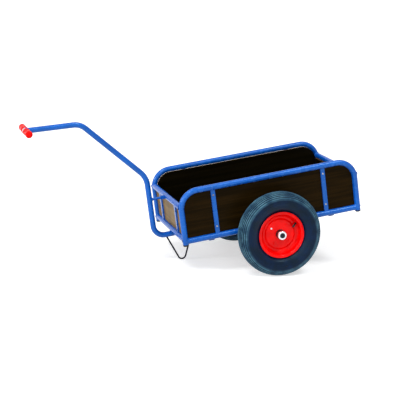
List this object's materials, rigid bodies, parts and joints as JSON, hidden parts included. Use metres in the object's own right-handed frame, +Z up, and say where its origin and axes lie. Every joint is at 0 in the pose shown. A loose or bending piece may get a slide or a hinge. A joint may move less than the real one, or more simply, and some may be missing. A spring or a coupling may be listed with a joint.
{
  "type": "hand cart",
  "caption": "Two-wheeled hand cart: bent-tube frame with a board load box, pneumatic wheels on a through axle, cranked drawbar with a T handle and a V stand.",
  "frame": {"origin": "on the floor, under the centre of the parked cart's bounding box", "axes": "+X towards the handle, +Y to the cart's left, +Z up"},
  "size_m": [1.5979, 0.768, 0.6773],
  "materials": {
    "frame_blue": "gloss paint",
    "stand_dark": "dark paint",
    "board_dark": "film-faced plywood",
    "board_end": "plywood",
    "zinc": "zinc plated",
    "grip_red": "moulded",
    "rim_red": "gloss paint",
    "tyre": "matt rubber",
    "black_plastic": "moulded",
    "valve_rubber": "matt rubber"
  },
  "bodies": {
    "cart": {"axle": "zinc", "bottom_bar_front": "frame_blue", "bottom_bar_rear": "frame_blue", "bottom_rail_left": "frame_blue", "bottom_rail_right": "frame_blue", "cross_bar_front": "frame_blue", "cross_bar_rear": "frame_blue", "cross_member_front": "frame_blue", "cross_member_rear": "frame_blue", "drawbar": "frame_blue", "drawbar_stay": "frame_blue", "end_bar_front_left": "frame_blue", "end_bar_front_right": "frame_blue", "end_bar_rear_left": "frame_blue", "end_bar_rear_right": "frame_blue", "end_board_front": "board_end", "end_board_rear": "board_end", "floor_board": "board_dark", "grip_left": "grip_red", "grip_right": "grip_red", "handle_tube": "zinc", "post_plug_front_left": "black_plastic", "post_plug_front_right": "black_plastic", "post_plug_rear_left": "black_plastic", "post_plug_rear_right": "black_plastic", "set_collar_inner_left": "zinc", "set_collar_inner_right": "zinc", "set_collar_outer_left": "zinc", "set_collar_outer_right": "zinc", "side_bar_front_left": "frame_blue", "side_bar_front_right": "frame_blue", "side_bar_rear_left": "frame_blue", "side_bar_rear_right": "frame_blue", "side_board_left": "board_dark", "side_board_right": "board_dark", "side_tube_left": "frame_blue", "side_tube_right": "frame_blue", "stay_gusset": "frame_blue", "v_stand": "stand_dark"},
    "wheel_left": {"hub_left": "black_plastic", "rim_inner_left": "rim_red", "rim_outer_left": "rim_red", "tyre_left": "tyre", "valve_left": "valve_rubber"},
    "wheel_right": {"hub_right": "black_plastic", "rim_inner_right": "rim_red", "rim_outer_right": "rim_red", "tyre_right": "tyre", "valve_right": "valve_rubber"}
  },
  "joints": [
    {"name": "wheel_left_spin", "type": "hinge", "parent": "cart", "child": "wheel_left", "pos_m": [-0.36041, 0.335, 0.2], "axis": [0, 1, 0], "continuous": true},
    {"name": "wheel_right_spin", "type": "hinge", "parent": "cart", "child": "wheel_right", "pos_m": [-0.36041, -0.335, 0.2], "axis": [0, 1, 0], "continuous": true}
  ]
}
